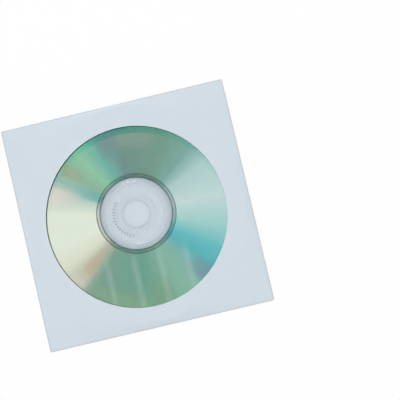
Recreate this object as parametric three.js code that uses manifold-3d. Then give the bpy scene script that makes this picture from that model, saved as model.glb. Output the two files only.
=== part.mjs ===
// A paper disc sleeve with a round film window, closed, lying flat with the window up and a
// recordable disc inside it, its recording side towards the window.
// Millimetres. +Z is up, through the window. +Y is towards the edge where the closing flap folds
// behind. The origin is on the underside, at the middle of the sleeve's outline.
// The sleeve is one die-cut sheet. Each side of the window panel carries on round a fold: left
// and right into the two seam flaps, at the bottom into the back panel, and at the top into the
// closing flap.
import * as THREE from 'three';
import { mergeVertices } from 'three/addons/utils/BufferGeometryUtils.js';
import Module from 'manifold-3d';

const wasm = await Module();
wasm.setup();

// Disc
const discDiameter = 120;
const discThickness = 1.2;
const discHole = 15;
const discEdgeChamfer = 0.2;
const holeEdgeChamfer = 0.15;
const stackingRingRadius = 17;
const stackingRingWidth = 1;
const stackingRingHeight = 0.15;
const stackingRingSlope = 0.25;
const mouldGrooveRadius = 10.6;
const mouldGrooveWidth = 0.6;
const mouldGrooveDepth = 0.12;

// Recording layer: the dye, metal and lacquer on the face away from the window
const recordingInnerDiameter = 39.4;
const recordingRimMargin = 1.5;
const recordingThickness = 0.03;

// Sleeve outline
const sleeveWidthPlay = 6;
const sleeveHeightPlay = 5;
const discTopGap = 1.5;
const discSideShift = 0.15;
const paperThickness = 0.12;
const cornerRelief = 1;

// Window and the film patch glued behind it
const windowDiameter = 100;
const windowDrop = 0.7;
const filmLap = 4.5;
const filmThickness = 0.05;
const filmGlue = 0.02;
const filmAirGap = 0.03;

// Seam flaps, back panel and closing flap
const seamFlapWidth = 12;
const seamFlapEndWidth = 1.5;
const seamFlapEndTaper = 6;
const seamGlue = 0.02;
const glueInset = 1.5;
const throatDrop = 3;
const closingFlapHeight = 19;
const closingFlapTaper = 6;
const flapAirGap = 0.03;
const liftRampLength = 8;
const liftRampMargin = 0.5;

// Folds and how the window panel comes down from the disc to them
const sideFoldGap = 0.12;
const foldStartAngle = THREE.MathUtils.degToRad(50);
const discRimPlay = 0.15;
const discFloorGap = 0.02;
const drapePower = 1.3;

// Fineness of the surfaces
const edgeStep = 6;
const liftRampSteps = 5;
const foldSteps = 4;
const drapeStops = [0.12, 0.3, 0.55, 0.8, 1];
const seamFlapColumns = 2;
const closingFlapRows = 3;
const roundSegments = 96;
const pointGrid = 1e-5;
const stationMerge = 0.4;
const glueBite = 0.03;

const discRadius = discDiameter / 2;
const windowRadius = windowDiameter / 2;
const sleeveWidth = discDiameter + sleeveWidthPlay;
const sleeveHeight = discDiameter + sleeveHeightPlay;
const topEdge = sleeveHeight / 2;
const discCentre = new THREE.Vector2(discSideShift, topEdge - discTopGap - discRadius);
const windowCentre = new THREE.Vector2(0, -windowDrop);

// Heights. The closing flap lies under the back panel and lifts it, over a short ramp.
const flapLift = paperThickness + flapAirGap;
const liftRampEnd = topEdge - closingFlapHeight - liftRampMargin;
const liftRampStart = liftRampEnd - liftRampLength;
const lift = (y) => flapLift * THREE.MathUtils.smoothstep(y, liftRampStart, liftRampEnd);
const closingFlapLevel = paperThickness / 2;
const backLevel = (y) => lift(y) + paperThickness / 2;
const seamLevel = (y) => backLevel(y) + paperThickness + seamGlue;

// Fold radii of the sheet's middle. The bottom and top folds also pass the sheets between them.
const foldReach = 1 + Math.cos(foldStartAngle);
const sideFoldRadius = (paperThickness + sideFoldGap) / 2;
const bottomFoldRadius = sideFoldRadius + (paperThickness + seamGlue) / foldReach;
const topFoldRadius = bottomFoldRadius + flapLift / foldReach;
const panelEdgeLevel = (y) => seamLevel(y) + sideFoldRadius * foldReach;

// Middle lines of the folds, and the window panel's edges where the folds begin
const foldAxis = (halfSize, radius) => halfSize - paperThickness / 2 - radius;
const foldStart = (halfSize, radius) => foldAxis(halfSize, radius) + radius * Math.sin(foldStartAngle);
const panelSide = foldStart(sleeveWidth / 2, sideFoldRadius);
const panelTop = foldStart(topEdge, topFoldRadius);
const panelBottom = -foldStart(sleeveHeight / 2, bottomFoldRadius);
const seamLowEnd = panelBottom + cornerRelief;
const seamHighEnd = panelTop - cornerRelief;
const throat = topEdge - throatDrop;
const seamInnerEdge = foldAxis(sleeveWidth / 2, sideFoldRadius) - seamFlapWidth;

// The disc settles on the highest sheet under it: the lifted back panel, or a seam flap
const seamReach = Math.max(discRadius + discSideShift - seamInnerEdge, 0);
const seamChord = Math.sqrt(Math.max(discRadius ** 2 - (discRadius - seamReach) ** 2, 0));
const backUnderDisc = backLevel(throat) + paperThickness / 2;
const seamUnderDisc = seamReach > 0 ? seamLevel(discCentre.y + seamChord) + paperThickness / 2 : 0;
const discFloor = Math.max(backUnderDisc, seamUnderDisc) + discFloorGap;
const discBottom = discFloor + recordingThickness;
const filmBottom = discBottom + discThickness + stackingRingHeight + filmAirGap;
const windowPanelLevel = filmBottom + filmThickness + filmGlue + paperThickness / 2;

// Evenly spaced values from first to last, none further apart than the edge step
function spread(first, last, step = edgeStep) {
  const count = Math.max(1, Math.round(Math.abs(last - first) / step));
  return Array.from({ length: count + 1 }, (_, i) => THREE.MathUtils.lerp(first, last, i / count));
}

// Rows across the sleeve that the seam flaps, the back panel and the panel's sides share
function sideStations() {
  const ramp = spread(liftRampStart, liftRampEnd, liftRampLength / liftRampSteps);
  const keys = [seamLowEnd, seamLowEnd + seamFlapEndTaper, ...ramp, throat,
    seamHighEnd - seamFlapEndTaper, seamHighEnd];
  const inside = keys.filter((y) => y >= seamLowEnd && y <= seamHighEnd).sort((a, b) => a - b);
  const kept = inside.filter((y, i) => i === 0 || y - inside[i - 1] > stationMerge);
  return kept.flatMap((y, i) => (i === 0 ? [y] : spread(kept[i - 1], y).slice(1)));
}

const sideRows = sideStations();
const acrossHalf = panelSide - cornerRelief;
const acrossColumns = spread(-acrossHalf, acrossHalf);

// The sheet's middle surface, gathered as strips of points, then given its thickness
class Sheet {
  constructor() {
    this.points = [];
    this.indexOf = new Map();
    this.triangles = [];
  }

  vertex(point) {
    const key = point.toArray().map((value) => Math.round(value / pointGrid)).join(',');
    if (!this.indexOf.has(key)) {
      this.indexOf.set(key, this.points.length);
      this.points.push(point.clone());
    }
    return this.indexOf.get(key);
  }

  // Rows run outwards, and the points of a row run anticlockwise round the sleeve
  addRows(rows, closed = false) {
    const indices = rows.map((row) => row.map((point) => this.vertex(point)));
    const width = indices[0].length;
    for (let k = 0; k + 1 < indices.length; k++) {
      for (let j = 0; j < (closed ? width : width - 1); j++) {
        const next = (j + 1) % width;
        const [a, b] = [indices[k][j], indices[k + 1][j]];
        const [c, d] = [indices[k + 1][next], indices[k][next]];
        if (a !== b && b !== c) this.triangles.push([a, b, c]);
        if (a !== d && c !== d) this.triangles.push([a, c, d]);
      }
    }
  }

  // Each of the given columns starts at the panel's edge and runs outwards
  addColumns(columns) {
    this.addRows(columns[0].map((_, k) => columns.map((column) => column[k])));
  }

  normals() {
    const sums = this.points.map(() => new THREE.Vector3());
    for (const corners of this.triangles) {
      const [a, b, c] = corners.map((index) => this.points[index]);
      const normal = b.clone().sub(a).cross(c.clone().sub(a)).normalize();
      corners.forEach((index, i) => {
        const here = this.points[index];
        const toNext = this.points[corners[(i + 1) % 3]].clone().sub(here);
        const toLast = this.points[corners[(i + 2) % 3]].clone().sub(here);
        sums[index].addScaledVector(normal, toNext.angleTo(toLast));
      });
    }
    return sums.map((sum) => sum.normalize());
  }

  // The solid between two offsets from the middle surface
  solid(lower, upper) {
    const normals = this.normals();
    const count = this.points.length;
    const corners = [upper, lower].flatMap((offset) => this.points.flatMap(
      (point, i) => point.clone().addScaledVector(normals[i], offset).toArray()));
    const edges = new Set(this.triangles.flatMap(([a, b, c]) => [`${a},${b}`, `${b},${c}`, `${c},${a}`]));
    const faces = this.triangles.flatMap(([a, b, c]) => [a, b, c, c + count, b + count, a + count]);
    for (const edge of edges) {
      const [a, b] = edge.split(',').map(Number);
      if (!edges.has(`${b},${a}`)) faces.push(a, a + count, b + count, a, b + count, b);
    }
    return new wasm.Manifold(new wasm.Mesh({
      numProp: 3,
      vertProperties: new Float32Array(corners),
      triVerts: new Uint32Array(faces),
    }));
  }
}

function geometryOf(solid) {
  const mesh = solid.getMesh();
  const geometry = new THREE.BufferGeometry();
  geometry.setAttribute('position', new THREE.BufferAttribute(new Float32Array(mesh.vertProperties), 3));
  geometry.setIndex(new THREE.BufferAttribute(new Uint32Array(mesh.triVerts), 1));
  geometry.computeVertexNormals();
  return geometry;
}

function solidOf(geometry) {
  const bare = geometry.clone();
  bare.deleteAttribute('normal');
  bare.deleteAttribute('uv');
  const merged = mergeVertices(bare);
  return new wasm.Manifold(new wasm.Mesh({
    numProp: 3,
    vertProperties: merged.attributes.position.array,
    triVerts: new Uint32Array(merged.index.array),
  }));
}

// The window panel's edge, anticlockwise from the bottom right corner
const edgePoint = (x, y) => new THREE.Vector3(x, y, panelEdgeLevel(y));
const panelEdges = {
  right: sideRows.map((y) => edgePoint(panelSide, y)),
  top: acrossColumns.map((x) => edgePoint(-x, panelTop)),
  left: sideRows.toReversed().map((y) => edgePoint(-panelSide, y)),
  bottom: acrossColumns.map((x) => edgePoint(x, panelBottom)),
};
const panelOutline = [
  edgePoint(panelSide, panelBottom), ...panelEdges.right,
  edgePoint(panelSide, panelTop), ...panelEdges.top,
  edgePoint(-panelSide, panelTop), ...panelEdges.left,
  edgePoint(-panelSide, panelBottom), ...panelEdges.bottom,
];

// Rings of the window panel: flat out to the disc's rim, then draped down to the outline
function flatRing(centre, radius) {
  return panelOutline.map((edge) => {
    const angle = Math.atan2(edge.y - discCentre.y, edge.x - discCentre.x);
    const [x, y] = [centre.x + radius * Math.cos(angle), centre.y + radius * Math.sin(angle)];
    return new THREE.Vector3(x, y, windowPanelLevel);
  });
}

const rimRing = flatRing(discCentre, discRadius + discRimPlay);
const drapeRings = drapeStops.map((stop) => panelOutline.map((edge, j) => {
  const point = rimRing[j].clone().lerp(edge, stop);
  point.z = THREE.MathUtils.lerp(windowPanelLevel, edge.z, stop ** drapePower);
  return point;
}));

// Points round a fold, from the panel's edge to the sheet lying flat behind it.
// out is the direction that the fold faces, and level is the height of the sheet behind.
function foldColumn(edge, out, halfSize, radius, level) {
  const across = foldAxis(halfSize, radius);
  return Array.from({ length: foldSteps + 1 }, (_, i) => {
    if (i === 0) return edge;
    const angle = THREE.MathUtils.lerp(foldStartAngle, Math.PI, i / foldSteps);
    const reach = across + radius * Math.sin(angle);
    const x = out.x === 0 ? edge.x : out.x * reach;
    const y = out.y === 0 ? edge.y : out.y * reach;
    return new THREE.Vector3(x, y, level + radius * (1 + Math.cos(angle)));
  });
}

// The seam flap's width at a row: narrow at both ends, so that it clears the other folds
function seamWidthAt(y) {
  const fromEnd = Math.min(y - seamLowEnd, seamHighEnd - y);
  const share = Math.min(fromEnd / seamFlapEndTaper, 1);
  return THREE.MathUtils.lerp(seamFlapEndWidth, seamFlapWidth, share);
}

function seamFlapColumnsFrom(edges, side) {
  const out = new THREE.Vector2(side, 0);
  const shares = Array.from({ length: seamFlapColumns }, (_, i) => (i + 1) / seamFlapColumns);
  return edges.map((edge) => {
    const fold = foldColumn(edge, out, sleeveWidth / 2, sideFoldRadius, seamLevel(edge.y));
    const root = fold.at(-1);
    const width = seamWidthAt(edge.y);
    return [...fold, ...shares.map((share) => root.clone().setX(root.x - side * width * share))];
  });
}

function backPanelColumns() {
  const out = new THREE.Vector2(0, -1);
  const rows = sideRows.filter((y) => y < throat - stationMerge).concat(throat);
  return panelEdges.bottom.map((edge) => {
    const fold = foldColumn(edge, out, sleeveHeight / 2, bottomFoldRadius, backLevel(edge.y));
    return [...fold, ...rows.map((y) => new THREE.Vector3(edge.x, y, backLevel(y)))];
  });
}

function closingFlapColumns() {
  const out = new THREE.Vector2(0, 1);
  const root = foldAxis(topEdge, topFoldRadius);
  const freeEdge = topEdge - closingFlapHeight;
  const shares = Array.from({ length: closingFlapRows }, (_, i) => (i + 1) / closingFlapRows);
  return panelEdges.top.map((edge) => {
    const fold = foldColumn(edge, out, topEdge, topFoldRadius, closingFlapLevel);
    const flap = shares.map((share) => {
      const x = edge.x * (1 - share * closingFlapTaper / acrossHalf);
      return new THREE.Vector3(x, THREE.MathUtils.lerp(root, freeEdge, share), closingFlapLevel);
    });
    return [...fold, ...flap];
  });
}

// The line of glue that bonds a seam flap to the back panel
function seamGlueStrip(side) {
  const first = seamLowEnd + seamFlapEndTaper + glueInset;
  const last = Math.min(throat, seamHighEnd - seamFlapEndTaper) - glueInset;
  const rows = [first, ...sideRows.filter((y) => y > first + stationMerge && y < last - stationMerge), last];
  const inner = seamInnerEdge + glueInset;
  const outer = acrossHalf - glueInset;
  const strip = new Sheet();
  strip.addRows([inner, outer].map((x) => rows.map((y) => {
    const level = backLevel(y) + (paperThickness + seamGlue) / 2;
    return new THREE.Vector3(side * x, side * y, level);
  })));
  return strip;
}

function sleevePaper() {
  const sheet = new Sheet();
  sheet.addRows([flatRing(windowCentre, windowRadius), rimRing, ...drapeRings], true);
  sheet.addColumns(seamFlapColumnsFrom(panelEdges.right, 1));
  sheet.addColumns(closingFlapColumns());
  sheet.addColumns(seamFlapColumnsFrom(panelEdges.left, -1));
  sheet.addColumns(backPanelColumns());
  return sheet.solid(-paperThickness / 2, paperThickness / 2);
}

// The film hangs from the window panel's inner face, so it is that face, offset and cut square
function windowFilm() {
  const sheet = new Sheet();
  const middle = new THREE.Vector3(discCentre.x, discCentre.y, windowPanelLevel);
  sheet.addRows([panelOutline.map(() => middle), rimRing, ...drapeRings], true);
  const top = -paperThickness / 2 - filmGlue;
  const side = windowDiameter + 2 * filmLap;
  const patch = new THREE.BoxGeometry(side, side, 4 * windowPanelLevel);
  patch.translate(windowCentre.x, windowCentre.y, windowPanelLevel);
  return sheet.solid(top - filmThickness, top).intersect(solidOf(patch));
}

// A solid of revolution standing on Z, from radius and height pairs
function turned(profile) {
  const points = [...profile, profile[0]].map(([radius, height]) => new THREE.Vector2(radius, height));
  return new THREE.LatheGeometry(points, roundSegments).rotateX(Math.PI / 2);
}

function discGeometry() {
  const hole = discHole / 2;
  const ringInner = stackingRingRadius - stackingRingWidth / 2;
  const ringOuter = stackingRingRadius + stackingRingWidth / 2;
  const grooveInner = mouldGrooveRadius - mouldGrooveWidth / 2;
  const grooveOuter = mouldGrooveRadius + mouldGrooveWidth / 2;
  const top = discThickness;
  return turned([
    [hole + holeEdgeChamfer, 0],
    [recordingInnerDiameter / 2, 0],
    [discRadius - recordingRimMargin, 0],
    [discRadius - discEdgeChamfer, 0],
    [discRadius, discEdgeChamfer],
    [discRadius, top - discEdgeChamfer],
    [discRadius - discEdgeChamfer, top],
    [ringOuter + stackingRingSlope, top],
    [ringOuter, top + stackingRingHeight],
    [ringInner, top + stackingRingHeight],
    [ringInner - stackingRingSlope, top],
    [grooveOuter, top],
    [mouldGrooveRadius, top - mouldGrooveDepth],
    [grooveInner, top],
    [hole + holeEdgeChamfer, top],
    [hole, top - holeEdgeChamfer],
    [hole, holeEdgeChamfer],
  ]);
}

function recordingGeometry() {
  const [inner, outer] = [recordingInnerDiameter / 2, discRadius - recordingRimMargin];
  return turned([[inner, 0], [outer, 0], [outer, recordingThickness], [inner, recordingThickness]]);
}

function named(name, geometry, material) {
  const mesh = new THREE.Mesh(geometry, new THREE.MeshStandardMaterial(material));
  mesh.name = name;
  return mesh;
}

const glued = [1, -1].reduce((solid, side) => {
  const half = seamGlue / 2 + glueBite;
  return solid.add(seamGlueStrip(side).solid(-half, half));
}, sleevePaper());

const sleeve = new THREE.Group();
sleeve.add(named('sleeve_paper', geometryOf(glued), { color: 0xdce4ea, roughness: 0.85 }));
sleeve.add(named('window_film', geometryOf(windowFilm()), {
  color: 0xe6edf1, roughness: 0.12, transparent: true, opacity: 0.25,
}));

const disc = new THREE.Group();
disc.position.set(discCentre.x, discCentre.y, 0);
const moulding = named('disc', discGeometry(), {
  color: 0xd9e4e6, roughness: 0.08, transparent: true, opacity: 0.35,
});
moulding.position.z = discBottom;
const recording = named('recording_layer', recordingGeometry(), {
  color: 0x8fbfa6, roughness: 0.25, metalness: 0.8,
});
recording.position.z = discFloor;
disc.add(moulding, recording);

const part = new THREE.Group();
part.add(sleeve, disc);

export default part;
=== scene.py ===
"""A paper disc sleeve with a round film window, closed, with a recordable disc inside it.

Lengths in the classes are millimetres and angles are degrees. Meshes are written in metres.
+Z is up through the window, and +Y points to the edge where the closing flap folds behind.
"""

import logging
import math
from dataclasses import dataclass, field
from enum import Enum
from typing import Any, Callable, Sequence

import bmesh
import bpy
import numpy as np
from bpy.types import Material, Node, NodeSocket, NodeTree, Object
from mathutils import Matrix, Vector


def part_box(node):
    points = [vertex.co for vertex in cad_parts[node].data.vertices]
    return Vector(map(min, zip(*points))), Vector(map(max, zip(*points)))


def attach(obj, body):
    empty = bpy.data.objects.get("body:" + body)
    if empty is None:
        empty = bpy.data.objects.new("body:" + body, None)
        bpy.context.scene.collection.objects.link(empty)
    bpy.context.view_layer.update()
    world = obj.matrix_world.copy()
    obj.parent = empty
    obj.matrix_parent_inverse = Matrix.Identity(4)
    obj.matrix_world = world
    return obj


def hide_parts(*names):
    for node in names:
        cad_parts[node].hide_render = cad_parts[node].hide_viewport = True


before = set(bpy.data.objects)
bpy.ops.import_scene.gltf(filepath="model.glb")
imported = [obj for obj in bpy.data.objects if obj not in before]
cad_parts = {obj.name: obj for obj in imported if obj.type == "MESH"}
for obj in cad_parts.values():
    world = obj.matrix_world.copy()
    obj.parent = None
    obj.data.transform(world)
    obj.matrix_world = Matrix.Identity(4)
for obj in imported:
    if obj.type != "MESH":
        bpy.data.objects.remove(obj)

log = logging.getLogger("disc_sleeve")

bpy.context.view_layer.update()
MM = 0.001
BODY = "root"

# Edges that turn by more than this many degrees are shaded sharp
SHARP_ANGLE = 38

# A row of points, and the radius and height pairs of a turned section
Row = list[np.ndarray]
Section = list[tuple[float, float]]


def linear(hex_colour: str, alpha: float = 1.0) -> tuple[float, float, float, float]:
    """Turns an sRGB colour into the linear one that shaders take.

    Args:
        hex_colour: Six hex digits, without a hash.
        alpha: The fourth channel, passed on as it is.

    Returns:
        Linear red, green and blue, and alpha.
    """
    channels = [int(hex_colour[i:i + 2], 16) / 255 for i in (0, 2, 4)]
    straight = [c / 12.92 if c <= 0.04045 else ((c + 0.055) / 1.055) ** 2.4 for c in channels]
    return (straight[0], straight[1], straight[2], alpha)


def add_node(
    tree: NodeTree, kind: str, inputs: dict[Any, Any] | None = None, **settings: Any
) -> Node:
    """Adds a node to a tree, with its settings and what feeds it.

    Args:
        tree: The node tree.
        kind: The node's type name.
        inputs: Socket name or index, to a plain value or to the output that feeds it.
        settings: The node's own properties.

    Returns:
        The new node.
    """
    node = tree.nodes.new(kind)
    for name, value in settings.items():
        setattr(node, name, value)
    for socket, value in (inputs or {}).items():
        if isinstance(value, NodeSocket):
            tree.links.new(value, node.inputs[socket])
        else:
            node.inputs[socket].default_value = value
    return node


def new_material(name: str) -> tuple[Material, NodeTree, Node]:
    """Makes an empty node material.

    Args:
        name: The material's name.

    Returns:
        The material, its tree and its output node.
    """
    material = bpy.data.materials.new(name)
    material.use_nodes = True
    material.node_tree.nodes.clear()
    return material, material.node_tree, add_node(material.node_tree, "ShaderNodeOutputMaterial")


def flat_offset(tree: NodeTree, centre: Sequence[float]) -> NodeSocket:
    """Gives the place on the object as seen from a centre, with its height left out.

    Args:
        tree: The material's tree.
        centre: The centre in millimetres.

    Returns:
        The offset in metres.
    """
    place = add_node(tree, "ShaderNodeTexCoord").outputs["Object"]
    middle = (centre[0] * MM, centre[1] * MM, 0)
    apart = add_node(tree, "ShaderNodeVectorMath", {0: place, 1: middle}, operation="SUBTRACT")
    return add_node(tree, "ShaderNodeVectorMath", {
        0: apart.outputs[0], 1: (1, 1, 0)}, operation="MULTIPLY").outputs[0]


def closeness(tree: NodeTree, length: NodeSocket, middle: float, reach: float,
              most: float = 1.0) -> NodeSocket:
    """Rises smoothly as a length comes near a middle value.

    Args:
        tree: The material's tree.
        length: The length in metres.
        middle: The middle value in millimetres.
        reach: How far from it the rise starts, in millimetres.
        most: What it rises to.

    Returns:
        A share, 0 beyond the reach.
    """
    apart = add_node(tree, "ShaderNodeMath", {0: length, 1: middle * MM}, operation="SUBTRACT")
    size = add_node(tree, "ShaderNodeMath", {0: apart.outputs[0]}, operation="ABSOLUTE")
    return add_node(tree, "ShaderNodeMapRange", {
        "Value": size.outputs[0], "From Min": reach * MM, "From Max": 0.0, "To Max": most},
        interpolation_type="SMOOTHSTEP").outputs[0]


def box_mm(node: str) -> tuple[np.ndarray, np.ndarray]:
    """Gives a CAD node's lowest and highest corners in millimetres."""
    low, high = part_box(node)
    return np.array(low) / MM, np.array(high) / MM


def smoothstep(value: np.ndarray | float, low: float, high: float) -> np.ndarray:
    """Rises smoothly from 0 at low to 1 at high."""
    share = np.clip((np.asarray(value, float) - low) / (high - low), 0, 1)
    return share * share * (3 - 2 * share)


def spread(first: float, last: float, step: float) -> np.ndarray:
    """Gives evenly spaced values from first to last, about a step apart."""
    return np.linspace(first, last, max(1, round(abs(last - first) / step)) + 1)


def finish_piece(mesh: bmesh.types.BMesh, name: str, material: Material,
                 replaces: Sequence[str] = ()) -> Object:
    """Turns a mesh into a piece of the object that rides on the body.

    Args:
        mesh: The piece in millimetres. It is freed here.
        name: The piece's name.
        material: Its finish.
        replaces: The CAD nodes that it stands for.

    Returns:
        The piece.
    """
    bmesh.ops.recalc_face_normals(mesh, faces=mesh.faces)
    mesh.transform(Matrix.Scale(MM, 4))
    data = bpy.data.meshes.new(name)
    mesh.to_mesh(data)
    mesh.free()
    data.shade_smooth()
    data.set_sharp_from_angle(angle=math.radians(SHARP_ANGLE))
    data.materials.append(material)
    piece = bpy.data.objects.new(name, data)
    bpy.context.scene.collection.objects.link(piece)
    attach(piece, BODY)
    if replaces:
        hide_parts(*replaces)
    log.info("%s: %d faces", name, len(data.polygons))
    return piece


class FoldSide(Enum):
    """The four edges of the window panel, by the way that each fold faces."""

    RIGHT = (1, 0)
    TOP = (0, 1)
    LEFT = (-1, 0)
    BOTTOM = (0, -1)


@dataclass
class FoldedSheet:
    """Collects strips of points on a sheet's middle surface and gives them thickness."""

    joint: float = 1e-4
    surface: bmesh.types.BMesh = field(default_factory=bmesh.new)

    def add_rows(self, rows: Sequence[Row], closed: bool = False) -> None:
        """Adds a strip. Rows run outwards, and the points of a row run anticlockwise.

        Args:
            rows: Rows of points, all of one length.
            closed: Whether the last point of a row joins its first.
        """
        made = [[self.surface.verts.new(point) for point in row] for row in rows]
        count = len(made[0])
        for inner, outer in zip(made, made[1:]):
            for j in range(count if closed else count - 1):
                following = (j + 1) % count
                self.surface.faces.new((inner[j], outer[j], outer[following], inner[following]))

    def add_columns(self, columns: Sequence[Row]) -> None:
        """Adds a strip whose columns each run outwards from the window panel's edge."""
        self.add_rows([list(row) for row in zip(*columns)])

    def cut_square(self, centre: Sequence[float], side: float) -> None:
        """Trims the surface to a square.

        Args:
            centre: The square's middle.
            side: The length of its side.
        """
        for fold in FoldSide:
            out = Vector((*fold.value, 0))
            point = Vector((*centre, 0)) + out * side / 2
            everything = [*self.surface.verts, *self.surface.edges, *self.surface.faces]
            bmesh.ops.bisect_plane(
                self.surface, geom=everything, plane_co=point, plane_no=out, clear_outer=True)

    def solid(self, lower: float, upper: float) -> bmesh.types.BMesh:
        """Makes the closed sheet between two offsets from the middle surface.

        Args:
            lower: Offset of the inner face.
            upper: Offset of the outer face.

        Returns:
            A new mesh. The surface itself is freed.
        """
        middle = self.surface
        bmesh.ops.remove_doubles(middle, verts=middle.verts, dist=self.joint)
        middle.normal_update()
        middle.verts.index_update()
        solid = bmesh.new()
        layers = [
            [solid.verts.new(vert.co + vert.normal * offset) for vert in middle.verts]
            for offset in (upper, lower)
        ]
        for face in middle.faces:
            corners = [vert.index for vert in face.verts]
            solid.faces.new([layers[0][i] for i in corners])
            solid.faces.new([layers[1][i] for i in reversed(corners)])
        for edge in middle.edges:
            if edge.is_boundary:
                a, b = (vert.index for vert in edge.verts)
                solid.faces.new((layers[0][a], layers[0][b], layers[1][b], layers[1][a]))
        middle.free()
        return solid


@dataclass
class SleeveForm:
    """The form of the closed sleeve, which the paper and the film behind its window share."""

    paper_thickness: float = 0.12
    corner_relief: float = 1.0
    window_diameter: float = 100.0
    seam_flap_width: float = 12.0
    seam_flap_end_width: float = 1.5
    seam_flap_end_taper: float = 6.0
    seam_glue: float = 0.02
    throat_drop: float = 3.0
    closing_flap_height: float = 19.0
    closing_flap_taper: float = 6.0
    closing_flap_corner: float = 2.5
    flap_air_gap: float = 0.03
    lift_ramp_length: float = 8.0
    lift_ramp_margin: float = 0.5
    side_fold_gap: float = 0.12
    fold_start: float = 45.0
    disc_rim_play: float = 0.15
    drape_power: float = 1.3
    step: float = 2.0
    fold_steps: int = 8
    drape_steps: int = 16
    seam_flap_steps: int = 6
    corner_steps: int = 5
    slack_height: float = 0.05
    slack_sizes: tuple[float, float, float] = (9.1, 11.3, 6.7)
    slack_starts: tuple[float, float] = (1.7, -0.6)

    def __post_init__(self) -> None:
        """Takes the overall sizes from the CAD nodes and works out the rest."""
        low, high = box_mm("sleeve_paper")
        disc_low, disc_high = box_mm("disc")
        film_low, film_high = box_mm("window_film")
        self.half_width, self.half_height = high[0], high[1]
        self.disc_centre = (disc_low + disc_high)[:2] / 2
        self.disc_radius = (disc_high - disc_low)[0] / 2
        self.window_centre = (film_low + film_high)[:2] / 2
        self.film_side = (film_high - film_low)[0]
        self.panel_level = high[2] - self.paper_thickness / 2
        self.flap_lift = self.paper_thickness + self.flap_air_gap
        self.ramp_end = self.half_height - self.closing_flap_height - self.lift_ramp_margin
        reach = 1 + math.cos(math.radians(self.fold_start))
        side = (self.paper_thickness + self.side_fold_gap) / 2
        bottom = side + (self.paper_thickness + self.seam_glue) / reach
        self.fold_radius = {
            FoldSide.RIGHT: side,
            FoldSide.LEFT: side,
            FoldSide.BOTTOM: bottom,
            FoldSide.TOP: bottom + self.flap_lift / reach,
        }
        self.edge_rise = side * reach
        self.panel_side = self.fold_begins(FoldSide.RIGHT)
        self.panel_top = self.fold_begins(FoldSide.TOP)
        self.panel_bottom = -self.fold_begins(FoldSide.BOTTOM)
        self.throat = self.half_height - self.throat_drop
        self.seam_low = self.panel_bottom + self.corner_relief
        self.seam_high = self.panel_top - self.corner_relief

    def lift(self, y: float) -> float:
        """How far the closing flap, lying under the back panel, lifts it at this height."""
        ramp_start = self.ramp_end - self.lift_ramp_length
        return float(self.flap_lift * smoothstep(y, ramp_start, self.ramp_end))

    def back_level(self, y: float) -> float:
        """The level of the back panel's middle."""
        return self.lift(y) + self.paper_thickness / 2

    def seam_level(self, y: float) -> float:
        """The level of a seam flap's middle."""
        return self.back_level(y) + self.paper_thickness + self.seam_glue

    def fold_axis(self, side: FoldSide) -> float:
        """How far from the centre a fold's axis lies."""
        half = self.half_width if side.value[0] else self.half_height
        return half - self.paper_thickness / 2 - self.fold_radius[side]

    def fold_begins(self, side: FoldSide) -> float:
        """How far from the centre the window panel goes over into a fold."""
        out = math.sin(math.radians(self.fold_start))
        return self.fold_axis(side) + self.fold_radius[side] * out

    def edge_point(self, x: float, y: float) -> np.ndarray:
        """A point on the window panel's edge."""
        return np.array([x, y, self.seam_level(y) + self.edge_rise])

    def side_rows(self) -> np.ndarray:
        """Places the rows that the seam flaps, the back panel and the panel's sides share.

        Returns:
            Their places along Y, upwards, with one at each corner of the flaps and the ramp.
        """
        keys = sorted({
            self.seam_low, self.seam_low + self.seam_flap_end_taper,
            self.ramp_end - self.lift_ramp_length, self.ramp_end,
            self.seam_high - self.seam_flap_end_taper, self.throat, self.seam_high,
        })
        spans = [spread(a, b, self.step)[:-1] for a, b in zip(keys, keys[1:])]
        return np.concatenate([*spans, [keys[-1]]])

    def edges(self) -> dict[FoldSide, Row]:
        """Places the window panel's edge along each fold.

        Returns:
            For each fold, its points, anticlockwise.
        """
        rows = self.side_rows()
        half = self.panel_side - self.corner_relief
        columns = spread(-half, half, self.step)
        return {
            FoldSide.RIGHT: [self.edge_point(self.panel_side, y) for y in rows],
            FoldSide.TOP: [self.edge_point(-x, self.panel_top) for x in columns],
            FoldSide.LEFT: [self.edge_point(-self.panel_side, y) for y in rows[::-1]],
            FoldSide.BOTTOM: [self.edge_point(x, self.panel_bottom) for x in columns],
        }

    def outline(self) -> Row:
        """Joins the edges of the window panel with its corners.

        Returns:
            The whole edge, anticlockwise from the bottom right corner.
        """
        corners = {
            FoldSide.RIGHT: (self.panel_side, self.panel_bottom),
            FoldSide.TOP: (self.panel_side, self.panel_top),
            FoldSide.LEFT: (-self.panel_side, self.panel_top),
            FoldSide.BOTTOM: (-self.panel_side, self.panel_bottom),
        }
        outline = []
        for side, edge in self.edges().items():
            outline += [self.edge_point(*corners[side]), *edge]
        return outline

    def rings(self, circles: Sequence[tuple[Sequence[float], float]],
              wave: Callable[[float, float], float]) -> list[Row]:
        """Rings of the window panel's middle: flat circles, then the drape down to its edge.

        Args:
            circles: Centre and radius of each flat circle, outwards. The disc's rim is added.
            wave: A small height added to the flat part.

        Returns:
            The rings, outwards.
        """
        outline = self.outline()
        angles = [math.atan2(p[1] - self.disc_centre[1], p[0] - self.disc_centre[0]) for p in outline]
        rim = (self.disc_centre, self.disc_radius + self.disc_rim_play)
        rings = []
        for centre, radius in [*circles, rim]:
            ring = [np.array([centre[0] + radius * math.cos(a), centre[1] + radius * math.sin(a),
                              self.panel_level]) for a in angles]
            rings.append([point + [0, 0, wave(point[0], point[1])] for point in ring])
        for stop in self.drape_stops():
            ring = []
            for start, edge in zip(rings[len(circles)], outline):
                point = start + (edge - start) * stop
                point[2] = start[2] + (edge[2] - start[2]) * stop ** self.drape_power
                point[2] += self.slack_height * self.slack(start, edge, stop)
                ring.append(point)
            rings.append(ring)
        return rings

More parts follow.
